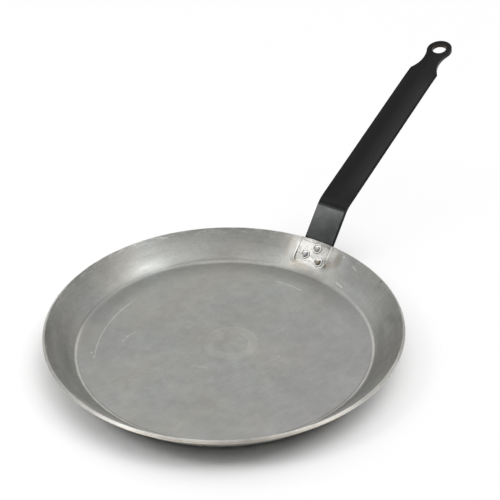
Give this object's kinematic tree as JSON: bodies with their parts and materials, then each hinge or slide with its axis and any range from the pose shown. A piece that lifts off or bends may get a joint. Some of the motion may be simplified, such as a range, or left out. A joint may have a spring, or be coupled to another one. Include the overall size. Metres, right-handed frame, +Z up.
{
  "type": "crepe pan",
  "caption": "Shallow round crepe pan of bare sheet steel with a low flared wall, a riveted black strip handle and a round hanging eye.",
  "frame": {"origin": "centre of the underside of the floor", "axes": "+X from the centre of the pan towards the handle, +Y to the left of the handle, +Z up"},
  "size_m": [0.4345, 0.2394, 0.1146],
  "materials": {
    "pan_steel": "bare carbon steel, turned and polished, worn satin",
    "handle_coating": "black baked coating, semi-gloss",
    "rivet_steel": "bare steel, set by hand press, slightly browned"
  },
  "bodies": {
    "root": {"pan_body": "pan_steel", "handle": "handle_coating", "rivet_upper": "rivet_steel", "rivet_left": "rivet_steel", "rivet_right": "rivet_steel"}
  },
  "joints": []
}
